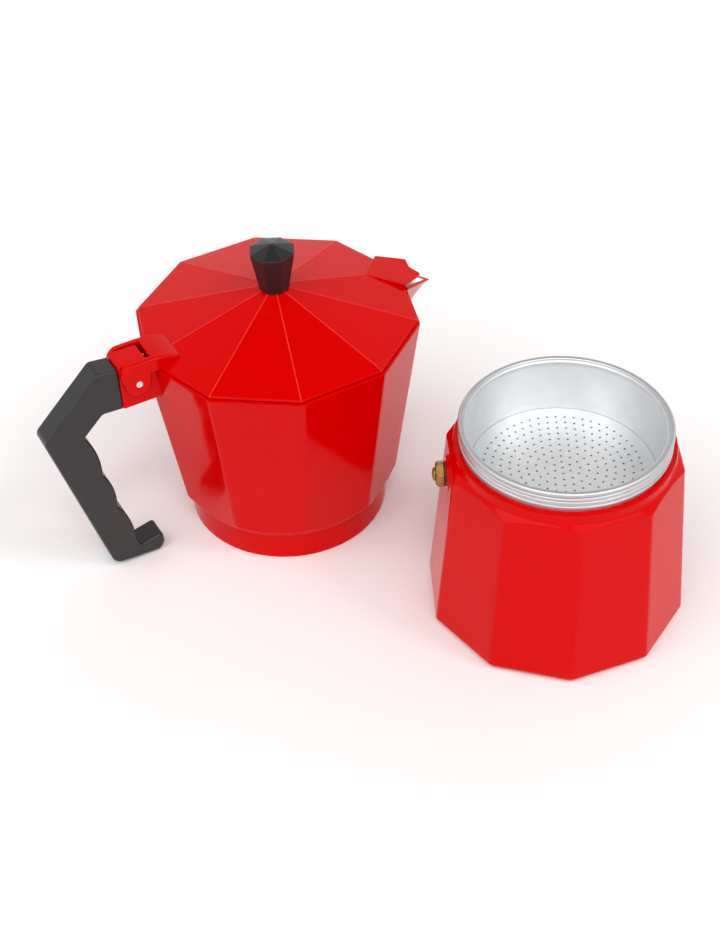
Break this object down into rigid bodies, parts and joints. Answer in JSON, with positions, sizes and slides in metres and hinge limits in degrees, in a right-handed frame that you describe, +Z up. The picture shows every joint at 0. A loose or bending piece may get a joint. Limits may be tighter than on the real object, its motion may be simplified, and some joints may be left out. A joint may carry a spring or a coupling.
{
  "type": "moka pot",
  "caption": "Stovetop espresso maker in red enamelled aluminium: faceted boiler with coffee funnel and safety valve, and a faceted pouring chamber with hinged lid and hooked handle.",
  "frame": {"origin": "centre of the boiler's base, on the surface that both halves stand on", "axes": "+Z up; +X runs from the chamber's handle to its spout; +Y from the boiler towards the chamber standing beside it"},
  "size_m": [0.2517, 0.247, 0.1479],
  "materials": {
    "red_enamel": "gloss",
    "bare_aluminium": "satin",
    "black_bakelite": "satin",
    "valve_brass": "aged",
    "steel": "satin",
    "white_silicone": "matte",
    "red_fibre": "matte"
  },
  "bodies": {
    "boiler": {"boiler_body": "red_enamel", "valve_body": "valve_brass", "valve_seal": "red_fibre", "valve_seat": "valve_brass", "valve_spring": "steel"},
    "valve_stem": {"valve_plunger": "valve_brass"},
    "funnel": {"funnel_cup": "bare_aluminium", "funnel_sieve": "bare_aluminium", "funnel_stem": "bare_aluminium"},
    "chamber": {"chamber_body": "red_enamel", "pour_column": "bare_aluminium", "gasket": "white_silicone", "filter_plate": "bare_aluminium", "handle": "black_bakelite", "handle_screw": "steel", "handle_washer": "steel"},
    "lid": {"lid": "red_enamel", "hinge_pin": "bare_aluminium", "lid_knob": "black_bakelite", "knob_insert": "valve_brass", "knob_screw": "steel", "knob_washer": "steel"}
  },
  "joints": [
    {"name": "funnel_lift", "type": "slide", "parent": "boiler", "child": "funnel", "axis": [0, 0, 1], "range_m": [0, 0.12]},
    {"name": "valve_lift", "type": "slide", "parent": "boiler", "child": "valve_stem", "axis": [-0.891, 0.454, 0], "range_m": [0, 0.0015], "stiffness_N_per_m": 900, "springref_m": -0.004, "deforming": ["valve_spring"]},
    {"name": "chamber_lift", "type": "slide", "parent": "boiler", "child": "chamber", "axis": [0, 0, 1], "range_m": [0, 0.2]},
    {"name": "lid_hinge", "type": "hinge", "parent": "chamber", "child": "lid", "pos_m": [-0.1471, 0.125, 0.1051], "axis": [0, -1, 0], "range_deg": [0, 83]}
  ]
}
